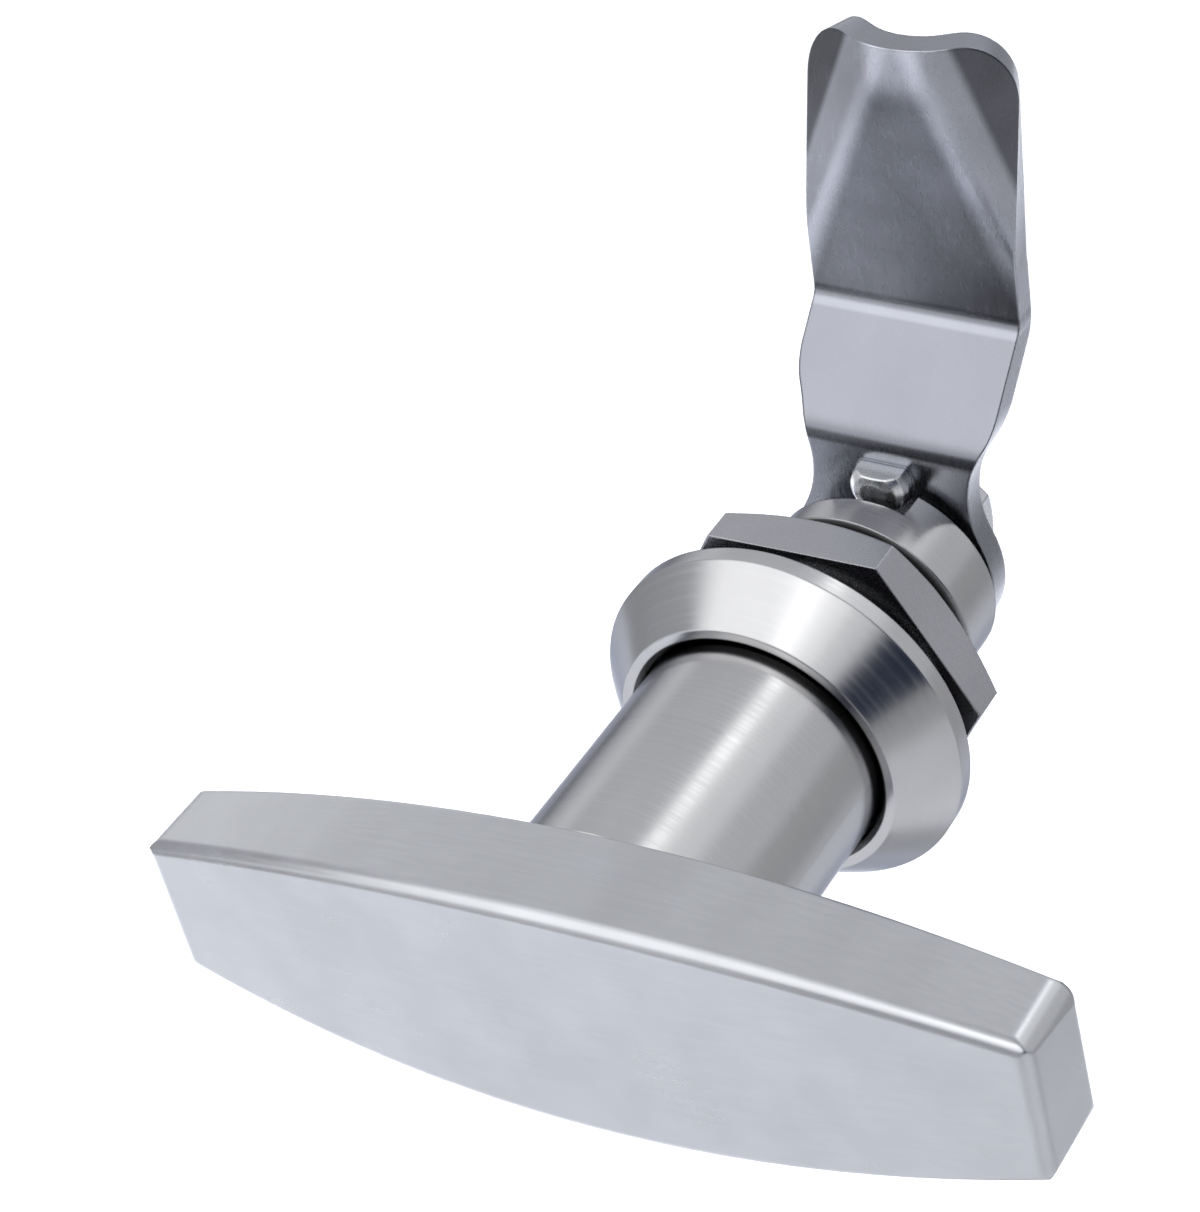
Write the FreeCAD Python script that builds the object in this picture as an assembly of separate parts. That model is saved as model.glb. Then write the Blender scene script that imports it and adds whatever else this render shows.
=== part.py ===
import FreeCAD, Part
import math
import os

# Quarter-turn T-handle latch for enclosure doors, in millimetres.
# The barrel's axis is Y and points into the enclosure; Z is up and X runs along the handle bar.
# The origin lies on that axis, in the back plane of the flange. The handle is drawn in its locked
# position, with the bar level and the cam standing up.

# Barrel and stem
barrel_d = 22.0
barrel_len = 12.3
barrel_bevel = 0.4
barrel_flat = 0.9           # depth of the locating flat along the barrel's underside
stem_d = barrel_d
stem_fit = 0.24             # gap round the stem inside the flange
bar_back = -30.0            # back face of the bar
panel_room = 2.2            # space left between gasket and nut

# Flange
flange_d = barrel_d + 10.8
flange_h = 6.35
rim_h = 1.85
lip_d = stem_d + 3.2
lip_bevel = 0.5
rim_bevel = 0.25

# Bores and stop collar
bore_d = barrel_d - 8.0
web_front = -1.9            # bottom of the stem's counterbore
step_back = 13.8            # bottom of the rear counterbore
collar_d = barrel_d - 2.0
rear_bore_d = collar_d - 2.8
collar_end = 19.0
sector_floor = 16.05
collar_bevel = 0.3

# Gasket and nut
gasket_t = 1.5
gasket_d = barrel_d + 7.0
nut_af = barrel_d + 5.0
nut_t = 4.8
nut_angle = -3.0
nut_chamfer = 30.0          # angle of the chamfer on the nut's rear corners
thread_gap = 0.05

# Handle bar
bar_length = 79.6
bar_end_draft = 0.34        # how much shorter each end is at the front
bar_mid_w = 22.9
bar_end_w = 13.1
bar_mid_t = 9.65
bar_end_t = 7.25
bar_corner_r = 2.4
bar_front_r = 1.3
bar_back_r = 0.4
spigot_d = stem_d - 10.0
spigot_len = 5.9
spigot_fit = 0.05
set_screw_d = 5.0
set_screw_af = 2.5
set_screw_recess = 0.45     # how far the screw sits inside the bar's underside

# Spindle
running_fit = 0.05
thrust_t = 0.9
o_ring_section = 1.5
o_ring_y = 4.95
rear_shaft_d = bore_d - 2.0
clip_t = 1.0
clip_groove_d = rear_shaft_d - 1.4
clip_d = rear_shaft_d + 3.8
clip_back = 16.05           # rear wall of the ring groove
square_af = 8.0
square_corner_d = rear_shaft_d - 1.2
square_fit = 0.05
tapping_depth = 11.0
screw_d = 6.0

# Cam
cam_front = 19.7            # front face of the cam's root
cam_t = 2.4
cam_offset = 8.25           # how far the tongue's outer part stands behind the root
cam_bend_z = 13.6           # lower crease
cam_lean = 45.0
cam_bend_r = 1.5
cam_tip_z = 46.8
cam_half_w = 9.6
cam_head_r = 9.4
cam_head_z = 0.6            # the head's middle lies this far above the square hole
neck_r = 10.5
neck_half_w = 7.3
neck_shift = 0.35           # the neck stands this far to one side of the tongue's middle
shoulder_r = 5.0
cam_set_angle = 5.0         # the cam stands this far past square to the bar
button_d = 5.4
button_h = 2.5
button_round = 1.5
button_radius = 9.7         # from the axis to the button's middle
button_flat = 1.7           # from the button's middle to the flat along its top

# Swept-back tip corners: each bend is a cone that starts at the side and widens on its way to the tip
wing_side_z = 29.3          # height at which the creases leave the sides
wing_tip_x = 2.45           # half of the distance between the creases at the tip
wing_angle = 31.0           # seen from above
wing_bend_r = 5.0           # inside of the bend, at the tip
wing_start_r = 0.5          # and at the side
tip_half_w = 9.5
tip_r = 4.8

# Stop sector
quarter_turn = 90.0
stop_play = 4.5             # angle left at each end of the travel

# Cam fastening
washer_d = 14.0
washer_t = 1.6
lock_d = 11.8
lock_t = 1.5
head_af = 10.0
head_h = 4.0

Y_AXIS = FreeCAD.Vector(0, 1, 0)
ORIGIN = FreeCAD.Vector(0, 0, 0)


def point(x, y, z):
    return FreeCAD.Vector(x, y, z)


def disc(radius, y0, y1):
    return Part.makeCylinder(radius, y1 - y0, point(0, y0, 0), Y_AXIS)


def ring(outer, inner, y0, y1):
    return disc(outer, y0, y1).cut(disc(inner, y0 - 1, y1 + 1))


def turned(profile):
    """Solid of revolution about the barrel's axis from (radius, y) corners."""
    corners = [point(r, y, 0) for r, y in profile]
    outline = Part.makePolygon(corners + corners[:1])
    return Part.Face(outline).revolve(ORIGIN, Y_AXIS, 360)


def across(direction_deg, radius, y=0.0):
    """Point at an angle from +X towards +Z."""
    angle = math.radians(direction_deg)
    return point(radius * math.cos(angle), y, radius * math.sin(angle))


def arc(start, middle, end):
    return Part.Arc(start, middle, end).toShape()


def line(start, end):
    return Part.LineSegment(start, end).toShape()


def prism(edges, vector):
    wire = Part.Wire(Part.__sortEdges__(edges))
    return Part.Face(wire).extrude(vector)


def wedge(start_deg, sweep_deg, radius, y0, y1):
    """Slice of a disc, from start_deg on towards +Z."""
    first = across(start_deg, radius, y0)
    middle = across(start_deg + sweep_deg / 2, radius, y0)
    last = across(start_deg + sweep_deg, radius, y0)
    centre = point(0, y0, 0)
    edges = [line(centre, first), arc(first, middle, last), line(last, centre)]
    return prism(edges, point(0, y1 - y0, 0))


def hexagon(across_flats, y0, y1, turn_deg=0.0):
    corner = across_flats / math.sqrt(3)
    corners = [across(turn_deg + 60 * i, corner, y0) for i in range(6)]
    return Part.Face(Part.makePolygon(corners + corners[:1])).extrude(point(0, y1 - y0, 0))


def square(across_flats, y0, y1):
    half = across_flats / 2
    return Part.makeBox(across_flats, y1 - y0, across_flats, point(-half, y0, -half))


def chamfered_end(radius, y_end, inward):
    """Body whose cone trims the corners of a hexagon at its end face; inward is -1 or 1 along Y."""
    reach = 2 * radius
    drop = (reach - radius) * math.tan(math.radians(nut_chamfer))
    far = y_end + inward * (drop + 4 * radius)
    return turned([(0, y_end), (radius, y_end), (reach, y_end + inward * drop), (reach, far), (0, far)])


# Fixed pieces

def make_housing():
    stem_bore = stem_d / 2 + stem_fit
    outer = flange_d / 2
    barrel = barrel_d / 2
    collar = collar_d / 2
    body = turned([
        (bore_d / 2, web_front),
        (stem_bore, web_front),
        (stem_bore, -flange_h + lip_bevel),
        (stem_bore + lip_bevel, -flange_h),
        (lip_d / 2, -flange_h),
        (outer, -rim_h),
        (outer, -rim_bevel),
        (outer - rim_bevel, 0),
        (barrel, 0),
        (barrel, barrel_len - barrel_bevel),
        (barrel - barrel_bevel, barrel_len),
        (collar, barrel_len),
        (collar, collar_end - collar_bevel),
        (collar - collar_bevel, collar_end),
        (rear_bore_d / 2, collar_end),
        (rear_bore_d / 2, step_back),
        (bore_d / 2, step_back),
    ])
    # locating flat along the underside of the barrel
    slab = Part.makeBox(barrel_d, barrel_len, barrel_d, point(-barrel, 0, barrel_flat - 3 * barrel))
    body = body.cut(slab)
    # sector that the stop button travels in
    button_reach = math.degrees(math.asin(button_d / 2 / button_radius))
    first_wall = 90 - cam_set_angle - button_reach - stop_play
    sweep = quarter_turn + 2 * (button_reach + stop_play)
    return body.cut(wedge(first_wall, sweep, collar_d, sector_floor, collar_end + 1))


def make_gasket():
    return ring(gasket_d / 2, barrel_d / 2 + thread_gap, 0, gasket_t)


def make_nut():
    front = gasket_t + panel_room
    back = front + nut_t
    face_r = 0.95 * nut_af / 2
    bore = barrel_d / 2 + thread_gap
    bevel = 0.6
    body = hexagon(nut_af, front, back, nut_angle).common(chamfered_end(face_r, back, -1))
    hole = turned([
        (0, front),
        (bore, front),
        (bore, back - bevel),
        (bore + bevel, back),
        (0, back),
    ])
    return body.cut(hole)


def make_thrust_washer():
    return ring(stem_d / 2 - 0.2, bore_d / 2 + 0.1, web_front - thrust_t, web_front)


# Pieces that turn with the handle

def bar_front(share):
    """Front face of the bowed bar, from its middle (0) to an end (1)."""
    return bar_back - bar_mid_t + (bar_mid_t - bar_end_t) * share ** 2


def bar_half_width(share):
    return (bar_mid_w - (bar_mid_w - bar_end_w) * share ** 2) / 2


def bar_flat(side, facing, tilt_deg, radius):
    """Everything inside one narrow flat of the rounding along a long edge of the bar.
    side is -1 or 1 along Z; facing is -1 for a front edge and 1 for a back edge. The flat is
    tilted from the side towards that face, touches the rounding and follows the bar's bow."""
    tilt = math.radians(tilt_deg)
    outwards = point(0, facing * math.sin(tilt), side * math.cos(tilt))
    along_flat = point(0, math.cos(tilt), -side * facing * math.sin(tilt))
    past_end = 1.1

    def level(share):
        face = bar_front(share) if facing < 0 else bar_back
        to_side = (bar_half_width(share) - radius) * math.cos(tilt)
        return to_side + (facing * face - radius) * math.sin(tilt) + radius

    reach = point(past_end * bar_length / 2, 0, 0)
    ends = outwards * level(past_end)
    inner = outwards * (level(past_end) - 3 * bar_mid_w)
    edges = [
        arc(ends - reach, outwards * level(0), ends + reach),
        line(ends + reach, inner + reach),
        line(inner + reach, inner - reach),
        line(inner - reach, ends - reach),
    ]
    body = prism(edges, along_flat * (4 * bar_length))
    body.translate(along_flat * (-2 * bar_length))
    return body


def upright_edges(body, x_limit, y_low, y_high, direction):
    """Edges along one direction whose middle lies beyond x_limit and between two Y values."""
    chosen = []
    for edge in body.Edges:
        run = edge.Vertexes[-1].Point - edge.Vertexes[0].Point
        middle = edge.BoundBox.Center
        along = abs(run.dot(direction)) > 0.9 * edge.Length
        if along and abs(middle.x) > x_limit and y_low < middle.y < y_high:
            chosen.append(edge)
    return chosen


def make_bar():
    half = bar_length / 2
    front_half = half - bar_end_draft
    front_end = bar_front(1)
    side = [
        line(point(-half, bar_back, 0), point(half, bar_back, 0)),
        line(point(half, bar_back, 0), point(front_half, front_end, 0)),
        arc(point(front_half, front_end, 0), point(0, bar_front(0), 0), point(-front_half, front_end, 0)),
        line(point(-front_half, front_end, 0), point(-half, bar_back, 0)),
    ]
    depth = 1.2 * bar_mid_w
    bowed = prism(side, point(0, 0, depth))
    bowed.translate(point(0, 0, -depth / 2))
    z_axis = point(0, 0, 1)
    middle_y = bar_back - bar_end_t / 2
    bowed = bowed.makeFillet(bar_front_r, upright_edges(bowed, half / 2, 2 * bar_back, middle_y, z_axis))
    bowed = bowed.makeFillet(bar_back_r, upright_edges(bowed, half / 2, middle_y, 0, z_axis))
    # the long sides are two arcs, seen from the front
    end_z = bar_half_width(1)
    mid_z = bar_half_width(0)
    plan = [
        arc(point(-half, 0, end_z), point(0, 0, mid_z), point(half, 0, end_z)),
        line(point(half, 0, end_z), point(half, 0, -end_z)),
        arc(point(half, 0, -end_z), point(0, 0, -mid_z), point(-half, 0, -end_z)),
        line(point(-half, 0, -end_z), point(-half, 0, end_z)),
    ]
    outline = prism(plan, point(0, 2 * bar_back, 0))
    outline = outline.makeFillet(bar_corner_r, upright_edges(outline, half / 2, 2 * bar_back, 0, Y_AXIS))
    bar = bowed.common(outline)
    # three flats make the rounding along each front edge, and one takes off each back edge
    for side_z in (-1, 1):
        for tilt in (22.5, 45, 67.5):
            bar = bar.common(bar_flat(side_z, -1, tilt, bar_front_r))
        bar = bar.common(bar_flat(side_z, 1, 45, bar_back_r))
    socket_end = bar_back - spigot_len - 0.3
    bar = bar.cut(disc(spigot_d / 2 + spigot_fit, socket_end, bar_back + 1))
    return bar.cut(set_screw_hole())


def set_screw_y():
    return bar_back - spigot_len / 2


def set_screw_hole():
    radius = set_screw_d / 2 + spigot_fit
    return Part.makeCylinder(radius, bar_mid_w / 2, point(0, set_screw_y(), 0), point(0, 0, -1))


def make_set_screw():
    start = -spigot_d / 2
    end = set_screw_recess - bar_mid_w / 2
    radius = set_screw_d / 2
    bevel = 0.5
    corners = [
        point(0, 0, start),
        point(radius - 2 * bevel, 0, start),
        point(radius, 0, start - 2 * bevel),
        point(radius, 0, end + bevel),
        point(radius - bevel, 0, end),
        point(0, 0, end),
    ]
    body = Part.Face(Part.makePolygon(corners + corners[:1])).revolve(ORIGIN, point(0, 0, 1), 360)
    body.translate(point(0, set_screw_y(), 0))
    key = set_screw_af / math.sqrt(3)
    rim = [point(key * math.cos(i * math.pi / 3), set_screw_y() + key * math.sin(i * math.pi / 3), end)
           for i in range(6)]
    socket = Part.Face(Part.makePolygon(rim + rim[:1])).extrude(point(0, 0, (start - end) / 2))
    return body.cut(socket)


def make_stem():
    shank = stem_d / 2
    journal = bore_d / 2 - running_fit
    shoulder = web_front - thrust_t
    groove = journal - o_ring_section - 0.1
    groove_half = o_ring_section / 2 + 0.2
    rear = rear_shaft_d / 2
    spigot = spigot_d / 2
    seam = 0.3
    turning = turned([
        (0, bar_back - spigot_len),
        (spigot, bar_back - spigot_len),
        (spigot, bar_back),
        (shank - seam, bar_back),
        (shank, bar_back + seam),
        (shank, shoulder),
        (journal, shoulder),
        (journal, o_ring_y - groove_half),
        (groove, o_ring_y - groove_half),
        (groove, o_ring_y + groove_half),
        (journal, o_ring_y + groove_half),
        (journal, step_back - 0.5),
        (rear, step_back),
        (rear, clip_back - clip_t - 0.05),
        (clip_groove_d / 2, clip_back - clip_t - 0.05),
        (clip_groove_d / 2, clip_back),
        (rear, clip_back),
        (rear, cam_front),
        (0, cam_front),
    ])
    tail_end = cam_front + cam_t - 0.2
    tail = square(square_af, cam_front - 1, tail_end).common(disc(square_corner_d / 2, 0, tail_end))
    tail = turn_with_cam(tail)
    bevel = 0.6
    hole = turned([
        (0, tail_end - tapping_depth),
        (screw_d / 2, tail_end - tapping_depth + screw_d / 4),
        (screw_d / 2, tail_end - bevel),
        (screw_d / 2 + bevel, tail_end),
        (0, tail_end),
    ])
    return turning.fuse(tail).cut(hole).removeSplitter()


def make_o_ring():
    section = o_ring_section / 2
    middle = bore_d / 2 - running_fit - section
    sides = 8
    turns = [2 * math.pi * (i + 0.5) / sides for i in range(sides)]
    return turned([(middle + section * math.cos(a), o_ring_y + section * math.sin(a)) for a in turns])


def make_disc_spring():
    inner = rear_shaft_d / 2 + 0.2
    outer = rear_bore_d / 2 - 0.4
    front = step_back
    back = clip_back - clip_t
    sheet = 0.5
    return turned([(outer, front), (outer, front + sheet), (inner, back), (inner, back - sheet)])


def make_retaining_ring():
    front = clip_back - clip_t
    grip = clip_groove_d / 2
    mouth = 70
    body = ring(clip_d / 2, grip, front, clip_back)
    body = body.cut(wedge(270 - mouth / 2, mouth, clip_d, front - 1, clip_back + 1))
    # two reliefs leave three lobes that grip the groove
    lobe = 40
    relief_r = grip + 0.35 * (clip_d / 2 - grip)
    sweep = (360 - mouth - 3 * lobe) / 2
    for side in (0, 1):
        start = 270 + mouth / 2 + lobe + side * (sweep + lobe)
        body = body.cut(wedge(start, sweep, relief_r, front - 1, clip_back + 1))
    return body


# Cam

def turn_with_cam(shape):
    turned_shape = shape.copy()
    turned_shape.rotate(ORIGIN, Y_AXIS, cam_set_angle)
    return turned_shape


def tip_start():
    """Height from which the sides' bends are made; the tongue is still flat there."""
    return wing_side_z - cam_t


def cam_outline():
    """The cam seen from the front, up to where its corners sweep back: head, neck and tongue."""
    head_share = cam_head_r / (cam_head_r + neck_r)
    neck_share = neck_r / (neck_r + shoulder_r)
    shoulder_x = cam_half_w - shoulder_r
    edges = []
    for side in (-1, 1):
        neck_x = neck_half_w + side * neck_shift + neck_r
        neck_rise = math.sqrt((cam_head_r + neck_r) ** 2 - neck_x ** 2)
        shoulder_rise = math.sqrt((neck_r + shoulder_r) ** 2 - (neck_x - shoulder_x) ** 2)
        neck_z = cam_head_z + neck_rise
        shoulder_z = neck_z + shoulder_rise
        half_swell = math.atan2(shoulder_rise, neck_x - shoulder_x) / 2

        head_end = point(side * neck_x * head_share, 0, cam_head_z + neck_rise * head_share)
        waist = point(side * (neck_x - neck_r), 0, neck_z)
        swell_x = neck_x + (shoulder_x - neck_x) * neck_share
        swell = point(side * swell_x, 0, neck_z + shoulder_rise * neck_share)
        crest = point(side * (shoulder_x + shoulder_r * math.cos(half_swell)), 0,
                      shoulder_z - shoulder_r * math.sin(half_swell))
        widest = point(side * cam_half_w, 0, shoulder_z)
        upper_end = point(side * cam_half_w, 0, tip_start())
        edges += [
            arc(head_end, waist, swell),
            arc(swell, crest, widest),
            line(widest, upper_end),
        ]
        if side < 0:
            head_left = head_end
    edges.append(arc(head_left, point(0, 0, cam_head_z - cam_head_r), head_end))
    edges.append(line(point(-cam_half_w, 0, tip_start()), upper_end))
    return edges


def cam_side_sheet(width):
    """The bent strip seen from the side, with bend arcs, extruded to the full width."""
    lean = math.radians(cam_lean)
    run = cam_offset / math.tan(lean)
    upper_z = cam_bend_z + run
    inner = cam_bend_r
    outer = cam_bend_r + cam_t
    low = -cam_head_r - 1
    high = tip_start() + 1

    def bend(corner_y, corner_z, centre_y, radius):
        """Start, middle and end of the arc that rounds a crease about a point beside it."""
        set_back = radius * math.tan(lean / 2)
        away = 1 if centre_y > corner_y else -1
        if away > 0:
            start = point(0, corner_y, corner_z - set_back)
            end = point(0, corner_y + set_back * math.sin(lean), corner_z + set_back * math.cos(lean))
        else:
            start = point(0, corner_y - set_back * math.sin(lean), corner_z - set_back * math.cos(lean))
            end = point(0, corner_y, corner_z + set_back)
        centre_z = start.z if away > 0 else end.z
        reach = lean / 2
        middle_z = centre_z + (1 if away > 0 else -1) * radius * math.sin(reach)
        middle = point(0, corner_y + away * radius * (1 - math.cos(reach)), middle_z)
        return start, middle, end

    # the back face's creases lie lower by this much, because the sheet keeps its thickness
    shift = cam_t * math.tan(lean / 2)
    root_front = cam_front
    root_back = cam_front + cam_t
    outer_front = cam_front + cam_offset
    outer_back = outer_front + cam_t
    bends = [
        bend(root_front, cam_bend_z, root_front + outer, outer),
        bend(outer_front, upper_z, outer_front - inner, inner),
        bend(outer_back, upper_z - shift, outer_back - outer, outer),
        bend(root_back, cam_bend_z - shift, root_back + inner, inner),
    ]
    front_low, front_high, back_high, back_low = bends
    edges = [
        line(point(0, root_front, low), front_low[0]),
        arc(*front_low),
        line(front_low[2], front_high[0]),
        arc(*front_high),
        line(front_high[2], point(0, outer_front, high)),
        line(point(0, outer_front, high), point(0, outer_back, high)),
        line(point(0, outer_back, high), back_high[2]),
        arc(*back_high),
        line(back_high[0], back_low[2]),
        arc(*back_low),
        line(back_low[0], point(0, root_back, low)),
        line(point(0, root_back, low), point(0, root_front, low)),
    ]
    sheet = prism(edges, point(width, 0, 0))
    sheet.translate(point(-width / 2, 0, 0))
    return sheet


def block_behind(corner, normal):
    """Large block with one face through a corner, on the side that the normal points to."""
    size = 8 * cam_tip_z
    block = Part.makeBox(size, size, size, point(-size / 2, -size / 2, 0))
    block.Placement = FreeCAD.Placement(corner, FreeCAD.Rotation(point(0, 0, 1), normal))
    return block


def behind_sheet(depth):
    """Everything behind the front face of the bent tongue (depth 0) or behind its back face (depth
    cam_t). Each bend is the cone round a row of growing balls that touch the flat and the wing."""
    angle = math.radians(wing_angle)
    front = cam_front + cam_offset
    body = block_behind(point(0, front + depth, 0), Y_AXIS)
    for side in (-1, 1):
        start = point(side * cam_half_w, front, wing_side_z)
        crease = point(side * wing_tip_x, front, cam_tip_z) - start
        growth = (wing_bend_r - wing_start_r) / crease.Length
        reach = 3 * crease.Length
        crease.normalize()
        normal = crease.cross(point(math.cos(angle), side * math.sin(angle), 0))
        normal.normalize()
        body = body.common(block_behind(start + normal * depth, normal))

        inwards = Y_AXIS + normal
        inwards.normalize()
        facing = inwards.dot(Y_AXIS)
        axis = crease + inwards * (growth / facing)
        outer_r = cam_t + wing_start_r
        apex = start + inwards * (outer_r / facing) - axis * ((outer_r - depth) / growth)
        slope = growth / math.sqrt(axis.Length ** 2 - growth ** 2)
        cone = Part.makeCone(0, reach * slope, reach, apex, axis)
        # the sharp crease goes, from the lines where the cone touches the flat and the wing
        ball_r = growth * reach / axis.Length
        to_ball = axis * (reach / axis.Length)
        on_flat = to_ball - Y_AXIS * ball_r
        on_wing = to_ball - normal * ball_r
        outwards = on_flat.cross(on_wing) * -side
        body = body.cut(block_behind(apex, outwards).cut(cone))
    return body


def tip_blank():
    """Outline of the tongue's end as a solid: its sides turn with the wings and stay square to them."""
    front = cam_front + cam_offset

    def section(height, half_width, crease_x, angle_deg):
        angle = math.radians(angle_deg)
        edge = point(half_width, front + (half_width - crease_x) * math.tan(angle), height)
        through = point(-math.sin(angle), math.cos(angle), 0) * cam_t
        right = [edge - through * 0.5, edge + through * 1.5]
        left = [point(-corner.x, corner.y, corner.z) for corner in reversed(right)]
        middle = point(0, front - cam_t, height)
        return Part.makePolygon([middle] + right + left + [middle])

    low = section(tip_start(), cam_half_w, cam_half_w, 0)
    high = section(cam_tip_z, tip_half_w, wing_tip_x, wing_angle)
    return Part.makeLoft([low, high], True, True)


def swept_back_tip():
    """The tongue's end, whose outer corners are swept back and rounded."""
    tip = behind_sheet(0).cut(behind_sheet(cam_t)).common(tip_blank())
    corners = []
    for edge in tip.Edges:
        middle = edge.BoundBox.Center
        at_tip = middle.z > cam_tip_z - 0.01
        if at_tip and abs(middle.x) > tip_half_w - cam_t and edge.Length < 1.1 * cam_t:
            corners.append(edge)
    return tip.makeFillet(tip_r, corners)


def above_button():
    """Block that leaves a flat along the top of the stop button."""
    top = button_radius + button_flat
    return Part.makeBox(2 * button_d, 2 * button_d, button_d, point(-button_d, cam_front - button_d, top))


def stop_button():
    """Round stud with a domed end and a flat top, on the root's front face."""
    radius = button_d / 2
    end = cam_front - button_h
    base = cam_front + cam_t / 2
    steps = 3
    dome = []
    for i in range(steps + 1):
        turn = math.pi / 2 * i / steps
        dome.append((radius - button_round * (1 - math.sin(turn)), end + button_round * (1 - math.cos(turn))))
    stud = turned([(0, end)] + dome + [(radius, base), (0, base)])
    stud.translate(point(0, 0, button_radius))
    return stud.cut(above_button())


def make_cam():
    strip = cam_side_sheet(4 * cam_half_w)
    cam = strip.common(prism(cam_outline(), point(0, 60, 0)))
    cam = cam.fuse(swept_back_tip()).removeSplitter()
    cam = cam.cut(square(square_af + 2 * square_fit, cam_front - 1, cam_front + cam_t + 1))
    # the stop button is pressed out of the sheet, so a pocket is left behind it
    pocket = disc(button_d / 2 - 0.1, cam_front + 0.4 * cam_t, cam_front + cam_t + 1)
    pocket.translate(point(0, 0, button_radius))
    pocket = pocket.cut(above_button())
    cam = cam.fuse(stop_button()).cut(pocket).removeSplitter()
    return turn_with_cam(cam)


# Cam fastening

def make_cam_washer():
    front = cam_front + cam_t
    return ring(washer_d / 2, screw_d / 2 + 0.2, front, front + washer_t)


def make_lock_washer():
    front = cam_front + cam_t + washer_t
    body = ring(lock_d / 2, screw_d / 2 + 0.1, front, front + lock_t)
    slot = Part.makeBox(0.8, 3 * lock_t, lock_d, point(-0.4, -1.5 * lock_t, 0))
    slot.rotate(ORIGIN, point(0, 0, 1), 25)
    slot.translate(point(0, front + lock_t / 2, 0))
    return body.cut(slot)


def make_cam_screw():
    seat = cam_front + cam_t + washer_t + lock_t
    back = seat + head_h
    head = hexagon(head_af, seat, back, 30 - cam_set_angle)
    head = head.common(chamfered_end(0.95 * head_af / 2, back, -1))
    radius = screw_d / 2 - thread_gap
    tip = cam_front + cam_t - 0.2 - tapping_depth + 2
    shank = turned([(0, tip), (radius - 0.5, tip), (radius, tip + 0.5), (radius, seat + 0.5), (0, seat + 0.5)])
    return head.fuse(shank).removeSplitter()


pieces = {
    "housing": make_housing,
    "panel_gasket": make_gasket,
    "mounting_nut": make_nut,
    "thrust_washer": make_thrust_washer,
    "handle_bar": make_bar,
    "handle_stem": make_stem,
    "bar_set_screw": make_set_screw,
    "spindle_o_ring": make_o_ring,
    "disc_spring": make_disc_spring,
    "retaining_ring": make_retaining_ring,
    "cam": make_cam,
    "cam_washer": make_cam_washer,
    "cam_lock_washer": make_lock_washer,
    "cam_screw": make_cam_screw,
}

os.makedirs("parts", exist_ok=True)
for name, make in pieces.items():
    make().exportStep("parts/" + name + ".step")
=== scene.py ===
import math

import bmesh
import bpy
from mathutils import Matrix, Vector


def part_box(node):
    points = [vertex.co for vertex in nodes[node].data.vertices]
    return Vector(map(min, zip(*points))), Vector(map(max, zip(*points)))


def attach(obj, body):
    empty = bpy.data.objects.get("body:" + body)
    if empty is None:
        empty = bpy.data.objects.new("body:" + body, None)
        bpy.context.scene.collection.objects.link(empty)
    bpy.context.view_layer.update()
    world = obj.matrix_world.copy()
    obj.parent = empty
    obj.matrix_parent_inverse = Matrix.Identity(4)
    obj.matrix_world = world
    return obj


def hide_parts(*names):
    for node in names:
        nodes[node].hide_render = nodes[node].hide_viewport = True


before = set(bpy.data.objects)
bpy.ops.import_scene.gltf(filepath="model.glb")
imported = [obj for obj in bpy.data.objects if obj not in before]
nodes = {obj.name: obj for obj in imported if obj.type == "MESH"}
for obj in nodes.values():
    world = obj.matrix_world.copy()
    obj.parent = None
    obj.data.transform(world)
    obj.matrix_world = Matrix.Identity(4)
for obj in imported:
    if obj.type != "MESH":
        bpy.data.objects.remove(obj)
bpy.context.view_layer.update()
mm = 0.001

# Sizes read from the frame; the barrel's axis is Y and passes through the origin
housing_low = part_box("housing")[0]
stem_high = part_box("handle_stem")[1]
gasket_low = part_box("panel_gasket")[0]

# Thread on the barrel, which is as wide as the stem
thread_pitch = 1.5 * mm
thread_depth = 0.92 * mm
thread_crest = stem_high.x
thread_start = gasket_low.y
thread_end = thread_start + 12.3 * mm
flank_angle = math.radians(30)
segments_per_turn = 96

# Cam
cam_lean = math.radians(5)
root_height = 13.2 * mm         # of the lower crease, along the tongue
crease_height = 21.9 * mm       # of the upper crease
button_front = 19.6 * mm        # the stop button stands before this plane
# Where the crease of a swept-back corner leaves the side and meets the tip, across and along the tongue
wing_side = Vector((9.6, 29.3)) * mm
wing_tip = Vector((2.45, 46.8)) * mm


# Camera, fitted to the photograph

image_width = 1200              # of the photograph, in its pixels
focal_length = 3315.8           # of the fitted camera, in the same pixels
sensor_width = 36.0
camera_azimuth = math.radians(39.19)
camera_elevation = math.radians(34.61)
camera_roll = math.radians(-15.2)
camera_distance = 276.3 * mm
camera_target = Vector((-14.68, -2.97, 10.09)) * mm


def make_camera():
    """The fitted camera, which looks at camera_target from camera_distance."""
    data = bpy.data.cameras.new("camera")
    data.sensor_width = sensor_width
    data.sensor_fit = "HORIZONTAL"
    data.lens = sensor_width * focal_length / image_width
    data.clip_start = 10 * mm
    camera = bpy.data.objects.new("camera", data)
    bpy.context.scene.collection.objects.link(camera)
    flat = math.cos(camera_elevation)
    away = Vector((
        math.sin(camera_azimuth) * flat,
        -math.cos(camera_azimuth) * flat,
        math.sin(camera_elevation),
    ))
    look = away.to_track_quat("Z", "Y").to_matrix().to_4x4()
    roll = Matrix.Rotation(camera_roll, 4, "Z")
    camera.matrix_world = Matrix.Translation(camera_target + away * camera_distance) @ look @ roll
    bpy.context.scene.camera = camera


# Studio

floor_drop = 85 * mm            # below the housing, so that the shadows fall out of the picture
floor_half = 6.0
floor_colour = (0.55, 0.55, 0.55, 1)
floor_roughness = 0.9


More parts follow.
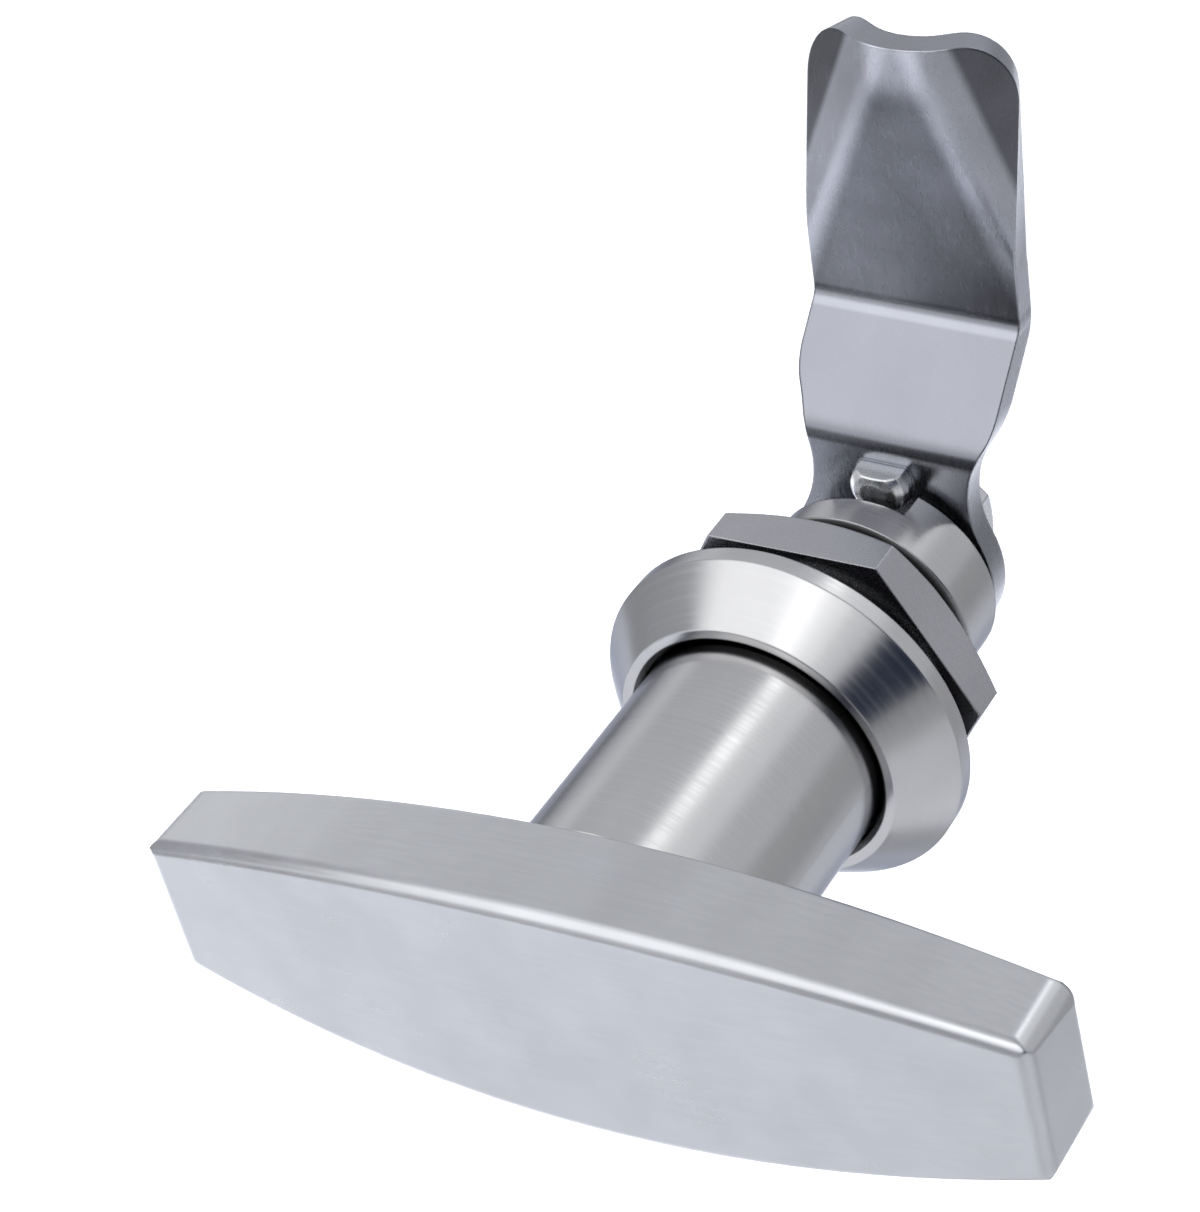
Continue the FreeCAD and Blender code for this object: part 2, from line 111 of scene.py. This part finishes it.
def make_floor():
    """A plain pale floor."""
    z = housing_low.z - floor_drop
    corners = [
        (-floor_half, -floor_half, z),
        (floor_half, -floor_half, z),
        (floor_half, floor_half, z),
        (-floor_half, floor_half, z),
    ]
    mesh = bpy.data.meshes.new("floor")
    mesh.from_pydata(corners, [], [(0, 1, 2, 3)])
    floor = bpy.data.objects.new("floor", mesh)
    bpy.context.scene.collection.objects.link(floor)
    material = bpy.data.materials.new("floor_white")
    material.use_nodes = True
    shader = material.node_tree.nodes["Principled BSDF"]
    shader.inputs["Base Color"].default_value = floor_colour
    shader.inputs["Roughness"].default_value = floor_roughness
    mesh.materials.append(material)


room_light = 0.42
room_tint = (0.0, 0.008, 0.035)     # added to the light from every side
# Soft patches of the room: direction, half angle and softness in degrees, light added to the room's
world_patches = [
    ((-0.33, -0.52, 0.79), 17, 21, 0.95),
    ((0.36, -0.6, 0.71), 14, 12, 0.85),
    ((0.8, -0.56, 0.24), 30, 8, -0.4),
    ((-0.3, 0.62, 0.7), 30, 20, 0.2),
    ((-0.8, 0.59, 0.1), 10, 14, 0.3),
    ((0.38, 0.62, 0.69), 10, 12, 0.42),
    ((-0.6, -0.78, 0.12), 14, 12, 0.5),
    ((0.2, 0.63, 0.75), 3, 4, 0.9),
    ((0.72, 0.64, 0.25), 14, 14, 0.18),
]


def make_world():
    """A grey room with soft bright and dark patches, which the steel reflects."""
    world = bpy.data.worlds.new("studio")
    bpy.context.scene.world = world
    world.use_nodes = True
    tree = world.node_tree
    background = tree.nodes["Background"]
    coordinates = tree.nodes.new("ShaderNodeTexCoord").outputs["Generated"]
    room = tree.nodes.new("ShaderNodeValue")
    room.outputs[0].default_value = room_light
    light_so_far = room.outputs[0]
    for direction, half_angle, softness, light in world_patches:
        facing = tree.nodes.new("ShaderNodeVectorMath")
        facing.operation = "DOT_PRODUCT"
        tree.links.new(coordinates, facing.inputs[0])
        facing.inputs[1].default_value = Vector(direction).normalized()
        edge = tree.nodes.new("ShaderNodeMapRange")
        edge.interpolation_type = "SMOOTHSTEP"
        tree.links.new(facing.outputs["Value"], edge.inputs["Value"])
        edge.inputs["From Min"].default_value = math.cos(math.radians(half_angle + softness))
        edge.inputs["From Max"].default_value = math.cos(math.radians(half_angle))
        edge.inputs["To Max"].default_value = light
        both = tree.nodes.new("ShaderNodeMath")
        both.operation = "ADD"
        tree.links.new(light_so_far, both.inputs[0])
        tree.links.new(edge.outputs[0], both.inputs[1])
        light_so_far = both.outputs[0]
    tint = tree.nodes.new("ShaderNodeVectorMath")
    tint.operation = "ADD"
    tint.inputs[0].default_value = room_tint
    tree.links.new(light_so_far, tint.inputs[1])
    tree.links.new(tint.outputs[0], background.inputs["Color"])


lamp_height = 600 * mm
lamp_size = 60 * mm
lamp_colour = (0.885, 0.916, 1.0)
# Lamps over the floor: place, radius of the lit pool, softness of its edge, power
floor_lamps = [
    ((-85 * mm, -40 * mm), 185 * mm, 0.2, 17.5),
    ((-190 * mm, 225 * mm), 270 * mm, 0.3, 31.0),
    ((-500 * mm, -20 * mm), 220 * mm, 0.5, 3.0),
    ((195 * mm, -90 * mm), 85 * mm, 0.6, 12.5),
    ((-150 * mm, -330 * mm), 175 * mm, 0.5, 12.0),
]


def make_lights():
    """Lamps overhead that brighten the floor and stay out of the steel's reflections."""
    for i, ((x, y), radius, softness, power) in enumerate(floor_lamps):
        data = bpy.data.lights.new("floor_lamp_" + str(i + 1), "SPOT")
        data.color = lamp_colour
        data.energy = power
        data.spot_size = 2 * math.atan(radius / lamp_height)
        data.spot_blend = softness
        data.shadow_soft_size = lamp_size
        lamp = bpy.data.objects.new(data.name, data)
        lamp.location = (x, y, lamp_height)
        lamp.visible_glossy = False
        bpy.context.scene.collection.objects.link(lamp)


# Shader helpers

class Graph:
    """Small helper that adds and links shader nodes of one material."""

    def __init__(self, name):
        self.material = bpy.data.materials.new(name)
        self.material.use_nodes = True
        self.tree = self.material.node_tree
        self.shader = self.tree.nodes["Principled BSDF"]

    def add(self, kind, links=None, **values):
        """Adds a node; values are its settings or unlinked inputs, links its linked inputs."""
        node = self.tree.nodes.new("ShaderNode" + kind)
        for key, value in values.items():
            if hasattr(node, key):
                setattr(node, key, value)
            else:
                node.inputs[key.replace("_", " ")].default_value = value
        for key, source in (links or {}).items():
            self.tree.links.new(source, node.inputs[key])
        return node

    def set(self, **values):
        """Sets inputs of the surface shader."""
        for key, value in values.items():
            self.shader.inputs[key.replace("_", " ")].default_value = value

    def link(self, source, key):
        """Links source to an input of the surface shader."""
        self.tree.links.new(source, self.shader.inputs[key])


def ranged(g, source, low, high, smooth=False):
    """Carries source from between the two values of low to between the two values of high."""
    kind = "SMOOTHSTEP" if smooth else "LINEAR"
    node = g.add("MapRange", {"Value": source}, interpolation_type=kind)
    node.inputs["From Min"].default_value = low[0]
    node.inputs["From Max"].default_value = low[1]
    node.inputs["To Min"].default_value = high[0]
    node.inputs["To Max"].default_value = high[1]
    return node.outputs[0]


def math_node(g, operation, first, second):
    """The operation on two sources or numbers."""
    node = g.add("Math", operation=operation)
    for i, value in enumerate((first, second)):
        if isinstance(value, (int, float)):
            node.inputs[i].default_value = value
        else:
            g.tree.links.new(value, node.inputs[i])
    return node.outputs[0]


def plus(g, first, second):
    return math_node(g, "ADD", first, second)


def minus(g, first, second):
    return math_node(g, "SUBTRACT", first, second)


def times(g, first, second):
    return math_node(g, "MULTIPLY", first, second)


def size_of(g, source):
    return math_node(g, "ABSOLUTE", source, 0.0)


def band(g, value, low, high, fade_in, fade_out):
    """One between low and high, nought outside, with soft ends."""
    rise = ranged(g, value, (low - fade_in, low), (0, 1), smooth=True)
    fall = ranged(g, value, (high, high + fade_out), (1, 0), smooth=True)
    return times(g, rise, fall)


def dot(g, vector, direction):
    node = g.add("VectorMath", {0: vector}, operation="DOT_PRODUCT")
    node.inputs[1].default_value = direction
    return node.outputs["Value"]


def stretched(g, source, scale):
    """Coordinates that draw the grain out along the axes with a small scale."""
    node = g.add("Mapping", {"Vector": source})
    node.inputs["Scale"].default_value = scale
    return node.outputs[0]


def lathe_place(g):
    """Radius and height along the axis, as X and Y, so that the grain turns into rings."""
    place = g.add("TexCoord").outputs["Object"]
    across = g.add("VectorMath", {0: place}, operation="MULTIPLY")
    across.inputs[1].default_value = (1, 0, 1)
    radius = g.add("VectorMath", {0: across.outputs[0]}, operation="LENGTH")
    along = g.add("SeparateXYZ", {0: place}).outputs["Y"]
    return g.add("CombineXYZ", {"X": radius.outputs["Value"], "Y": along}).outputs[0]


def noise(g, place, scale, detail=2.0):
    return g.add("TexNoise", {"Vector": place}, Scale=scale, Detail=detail).outputs["Fac"]


def tinted(g, colour, factor):
    """Links the colour, times the factor, to the base colour."""
    node = g.add("VectorMath", operation="SCALE")
    node.inputs[0].default_value = colour
    g.tree.links.new(factor, node.inputs["Scale"])
    g.link(node.outputs[0], "Base Color")


def relief(g, height, strength, distance, edge=0.0):
    """Bump from height, on edges rounded by the radius edge."""
    bump = g.add("Bump", {"Height": height})
    bump.inputs["Strength"].default_value = strength
    bump.inputs["Distance"].default_value = distance
    if edge:
        rounded = g.add("Bevel", samples=8)
        rounded.inputs["Radius"].default_value = edge
        g.tree.links.new(rounded.outputs[0], bump.inputs["Normal"])
    g.link(bump.outputs[0], "Normal")


# Materials

most = (0.3, 0.7)               # between these lies most of a noise
middle = (0.35, 0.65)           # between these lies its middle part

cloud_scale = 110.0
stain_scale = 140.0
stain_stretch = (1, 0.35, 1)
stain_shades = (0.96, 1.03)
line_shades = (0.98, 1.02)
steel_relief = 0.02 * mm
painted_shade_level = 0.22                # what the painted shade in the thread grooves and at the flange's mouth leaves of the colour

soft_cloud_scale = 180.0
soft_shades = (0.85, 1.15)
soft_uneven = 0.08
soft_relief = 0.05 * mm


def steel(name, colour, roughness, uneven, grain, scale, strength, edge, shade=None, lathe=False):
    """Stainless steel: grain drawn out by the polishing, cloudy sheen and faint stains.

    uneven is what grain and clouds each add to the roughness or take from it, grain and scale
    shape the grain, strength is that of its relief, and edge rounds the edges.
    """
    g = Graph(name)
    g.set(Metallic=1.0)
    place = g.add("TexCoord").outputs["Object"]
    lines = noise(g, stretched(g, lathe_place(g) if lathe else place, grain), scale)
    cloud = noise(g, place, cloud_scale, detail=4.0)
    stain = noise(g, stretched(g, place, stain_stretch), stain_scale, detail=3.0)
    change = (-uneven, uneven)
    sheen = plus(g, ranged(g, lines, most, change), ranged(g, cloud, most, change))
    g.link(plus(g, sheen, roughness), "Roughness")
    factor = times(g, ranged(g, stain, middle, stain_shades), ranged(g, lines, most, line_shades))
    if shade:
        factor = times(g, factor, shade(g))
    tinted(g, colour, factor)
    relief(g, lines, strength, steel_relief, edge)
    return g


def satin_steel():
    """The bar: satin, polished lengthwise."""
    return steel(
        "satin_steel_look",
        colour=(0.64, 0.65, 0.67),
        roughness=0.24,
        uneven=0.025,
        grain=(0.06, 1, 1),
        scale=2600.0,
        strength=0.003,
        edge=0.5 * mm,
    )


def turned_painted_shade(g):
    """Painted shade in the thread grooves, and painted shade on the stem where it enters the flange."""
    parts = g.add("SeparateXYZ", {0: lathe_place(g)}).outputs
    radius = parts["X"]
    along = parts["Y"]
    root = thread_crest - thread_depth
    # Painted shade in the thread grooves
    deep = band(g, radius, root, thread_crest - 0.5 * mm, fade_in=0.3 * mm, fade_out=0.4 * mm)
    threaded = band(g, along, thread_start, thread_end, fade_in=0.3 * mm, fade_out=0.3 * mm)
    groove = times(g, deep, threaded)
    # Painted shade on the stem where it enters the flange
    mouth_start = housing_low.y - 0.4 * mm
    mouth_end = housing_low.y + 2 * mm
    mouth = band(g, along, mouth_start, mouth_end, fade_in=0.7 * mm, fade_out=mm)
    skin_start = stem_high.x - mm
    skin_end = stem_high.x + 0.05 * mm
    on_stem = band(g, radius, skin_start, skin_end, fade_in=mm, fade_out=0.1 * mm)
    painted_gap_shade = times(g, mouth, on_stem)
    dark = math_node(g, "MAXIMUM", groove, painted_gap_shade)
    return ranged(g, dark, (0, 1), (1, painted_shade_level))


def turned_steel():
    """Stem and housing: fine rings left by the lathe."""
    g = steel(
        "turned_steel_look",
        colour=(0.61, 0.608, 0.61),
        roughness=0.2,
        uneven=0.04,
        grain=(0.4, 1, 1),
        scale=3000.0,
        strength=0.05,
        edge=0.25 * mm,
        shade=turned_painted_shade,
        lathe=True,
    )
    g.set(Anisotropic=0.4, Specular_Tint=(0.3, 0.31, 0.35, 1))
    g.link(g.add("Tangent", direction_type="RADIAL", axis="Y").outputs[0], "Tangent")
    return g


def past_wing_crease(g, along, aside):
    """How far a place on the cam lies outside the crease of the swept-back corner on its side."""
    crease = (wing_tip - wing_side).normalized()
    outwards = Vector((crease.y, -crease.x))
    reach = plus(g, times(g, aside, outwards.x), times(g, along, outwards.y))
    return minus(g, reach, outwards.dot(wing_side))


def cam_painted_light(g):
    """Painted shade above and along the creases and at the root, painted highlights on the creases, tip,
    left wing and button.
    """
    coordinates = g.add("TexCoord")
    place = coordinates.outputs["Object"]
    along = dot(g, place, (math.sin(cam_lean), 0, math.cos(cam_lean)))
    across = dot(g, place, (math.cos(cam_lean), 0, -math.sin(cam_lean)))
    aside = size_of(g, across)
    beyond = past_wing_crease(g, along, aside)

    facing = size_of(g, dot(g, coordinates.outputs["Normal"], (0, 1, 0)))
    on_face = ranged(g, facing, (0.5, 0.75), (0, 1))
    # Painted shade: the face above the upper crease is darkened, mottled by a random cloud; skin then
    # gathers the painted marks below
    above = ranged(g, along, (crease_height, crease_height + 0.6 * mm), (0, 1), smooth=True)
    above = times(g, above, on_face)
    cloud = ranged(g, noise(g, place, 75.0, detail=2.0), middle, (0.34, 0.68))
    skin = minus(g, 1.0, times(g, above, minus(g, 1.0, cloud)))

    # Painted highlight beside the creases of the swept-back corners
    beside_crease = band(g, beyond, -0.6 * mm, 1.6 * mm, fade_in=2.2 * mm, fade_out=0.8 * mm)
    crease_highlight = times(g, above, beside_crease)
    # Painted highlight along the middle of the tongue near its tip
    mid_tongue = band(g, aside, -mm, 1.6 * mm, fade_in=mm, fade_out=1.6 * mm)
    near_tip = ranged(g, along, (0.88 * wing_tip.y, 0.95 * wing_tip.y), (0, 1), smooth=True)
    apex_highlight = times(g, times(g, mid_tongue, near_tip), above)
    # Painted light: the left wing is made lighter than the right
    left = ranged(g, across, (0, -3 * mm), (0, 1))
    left_wing_light = times(g, left, ranged(g, beyond, (mm, 2 * mm), (0, 1)))
    # Painted highlight just below the upper crease (lip) and painted shade just above it (groove)
    lip_start = crease_height - 0.7 * mm
    lip_end = crease_height - 0.45 * mm
    lip_highlight = band(g, along, lip_start, lip_end, fade_in=0.3 * mm, fade_out=0.3 * mm)
    groove_start = crease_height + 0.3 * mm
    groove_end = crease_height + 0.6 * mm
    groove = band(g, along, groove_start, groove_end, fade_in=0.4 * mm, fade_out=0.4 * mm)
    # Painted shade over the root and along the lower crease
    root = band(g, along, 0.0, root_height - 0.8 * mm, fade_in=mm, fade_out=0.6 * mm)
    low_start = root_height - 0.5 * mm
    lower_crease_shade = band(g, along, low_start, root_height, fade_in=0.4 * mm, fade_out=0.4 * mm)
    # Painted highlight on the stop button
    depth = g.add("SeparateXYZ", {0: place}).outputs["Y"]
    button_highlight = ranged(g, depth, (button_front, button_front - 0.3 * mm), (0, 1), smooth=True)

    # Painted highlights add to the colour and painted shade takes from it
    marks = [
        (crease_highlight, 1.1),
        (apex_highlight, 0.8),
        (left_wing_light, 0.12),
        (lip_highlight, 0.3),
        (groove, -0.22),
        (root, -0.15),
        (lower_crease_shade, -0.55),
        (button_highlight, 1.9),
    ]
    for mark, amount in marks:
        skin = plus(g, skin, times(g, mark, amount))
    return skin


def cam_steel():
    """The cam: rolled sheet with the grain along the tongue."""
    return steel(
        "cam_steel_look",
        colour=(0.37, 0.38, 0.42),
        roughness=0.26,
        uneven=0.04,
        grain=(1, 1, 0.25),
        scale=2200.0,
        strength=0.02,
        edge=0.3 * mm,
        shade=cam_painted_light,
    )


def nut_steel():
    """Nut, cam washer and screw: faced and tumbled."""
    return steel(
        "nut_steel_look",
        colour=(0.5, 0.505, 0.53),
        roughness=0.28,
        uneven=0.015,
        grain=(1, 1, 1),
        scale=2600.0,
        strength=0.012,
        edge=0.25 * mm,
    )


def spring_steel():
    """Springs and set screw: dark oiled skin with drawing lines."""
    return steel(
        "spring_steel_look",
        colour=(0.2, 0.2, 0.21),
        roughness=0.36,
        uneven=0.05,
        grain=(0.3, 1, 1),
        scale=3000.0,
        strength=0.15,
        edge=0.1 * mm,
    )


def soft_material(name, colour, roughness, scale, strength):
    """Rubber or plastic: moulded grain, uneven sheen and a little dust."""
    g = Graph(name)
    place = g.add("TexCoord").outputs["Object"]
    grain = noise(g, place, scale, detail=3.0)
    cloud = noise(g, place, soft_cloud_scale, detail=4.0)
    sheen = ranged(g, cloud, most, (roughness - soft_uneven, roughness + soft_uneven))
    g.link(sheen, "Roughness")
    tinted(g, colour, ranged(g, cloud, most, soft_shades))
    relief(g, grain, strength, soft_relief)
    g.set(Specular_IOR_Level=0.3)
    return g


def black_rubber():
    """Gasket and O-ring."""
    return soft_material(
        "black_rubber_look",
        colour=(0.014, 0.014, 0.022),
        roughness=0.75,
        scale=1200.0,
        strength=0.02,
    )


def bearing_plastic():
    """Thrust washer."""
    return soft_material(
        "bearing_plastic_look",
        colour=(0.72, 0.7, 0.65),
        roughness=0.45,
        scale=2000.0,
        strength=0.2,
    )


def make_materials():
    """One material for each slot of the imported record."""
    made = {
        "satin_steel": satin_steel(),
        "turned_steel": turned_steel(),
        "cam_steel": cam_steel(),
        "nut_steel": nut_steel(),
        "spring_steel": spring_steel(),
        "black_rubber": black_rubber(),
        "bearing_plastic": bearing_plastic(),
    }
    return {slot: graph.material for slot, graph in made.items()}


# Threaded housing

weld_distance = 0.001 * mm
sharp_angle = math.radians(25)


def thread_cutter():
    """A helical V-shaped ridge that stands where the groove goes, and deepens over the first half turn."""
    half_root = thread_pitch / 16
    proud = 0.15 * mm           # how far it stands out of the barrel
    half_mouth = half_root + (thread_depth + proud) * math.tan(flank_angle)
    first = thread_start + half_mouth
    turns = (thread_end + thread_pitch - first) / thread_pitch
    steps = math.ceil(turns * segments_per_turn)
    runout = segments_per_turn // 2
    mouth = thread_crest + proud
    mesh = bmesh.new()
    rings = []
    for i in range(steps + 1):
        angle = 2 * math.pi * i / segments_per_turn
        y = first + thread_pitch * i / segments_per_turn
        root = thread_crest - thread_depth * min(1, i / runout)
        section = [(root, -half_root), (root, half_root), (mouth, half_mouth), (mouth, -half_mouth)]
        ring = []
        for radius, dy in section:
            place = (radius * math.cos(angle), y + dy, radius * math.sin(angle))
            ring.append(mesh.verts.new(place))
        rings.append(ring)
    for low, high in zip(rings, rings[1:]):
        for k in range(4):
            n = (k + 1) % 4
            mesh.faces.new((low[k], low[n], high[n], high[k]))
    mesh.faces.new(rings[0])
    mesh.faces.new(rings[-1][::-1])
    bmesh.ops.recalc_face_normals(mesh, faces=mesh.faces)
    data = bpy.data.meshes.new("thread_cutter")
    mesh.to_mesh(data)
    mesh.free()
    return bpy.data.objects.new("thread_cutter", data)


def welded_copy(node, name):
    """A copy of a CAD node whose faces share their corners, ready for cutting."""
    data = node.data.copy()
    mesh = bmesh.new()
    mesh.from_mesh(data)
    bmesh.ops.remove_doubles(mesh, verts=mesh.verts, dist=weld_distance)
    mesh.to_mesh(data)
    mesh.free()
    piece = bpy.data.objects.new(name, data)
    bpy.context.scene.collection.objects.link(piece)
    return piece


def cut_with(piece, cutter):
    """Takes the cutter out of the piece and removes the cutter."""
    bpy.context.scene.collection.objects.link(cutter)
    change = piece.modifiers.new("cut", "BOOLEAN")
    change.operation = "DIFFERENCE"
    change.solver = "EXACT"
    change.object = cutter
    graph = bpy.context.evaluated_depsgraph_get()
    cut = bpy.data.meshes.new_from_object(piece.evaluated_get(graph))
    piece.modifiers.clear()
    piece.data = cut
    bpy.data.objects.remove(cutter)


def shade_by_angle(piece, angle):
    """Smooth shading, with sharp edges where faces meet at more than the angle."""
    mesh = piece.data
    if "custom_normal" in mesh.attributes:
        mesh.attributes.remove(mesh.attributes["custom_normal"])
    mesh.shade_smooth()
    mesh.set_sharp_from_angle(angle=angle)


def make_threaded_housing():
    """The housing with its thread cut, in place of the plain one."""
    piece = welded_copy(nodes["housing"], "threaded_housing")
    cut_with(piece, thread_cutter())
    shade_by_angle(piece, sharp_angle)
    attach(piece, "housing")
    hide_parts("housing")


# The scene

piece_slots = {"threaded_housing": "turned_steel"}


def dress_nodes(materials):
    """Gives the CAD nodes and the made pieces the materials of their slots."""
    for node in nodes.values():
        for slot in node.material_slots:
            slot.material = materials[slot.material.name.split(".")[0]]
    for name, slot in piece_slots.items():
        bpy.data.objects[name].data.materials[0] = materials[slot]


make_threaded_housing()
make_camera()
make_floor()
make_world()
make_lights()
dress_nodes(make_materials())
bpy.context.scene.view_settings.view_transform = "Standard"
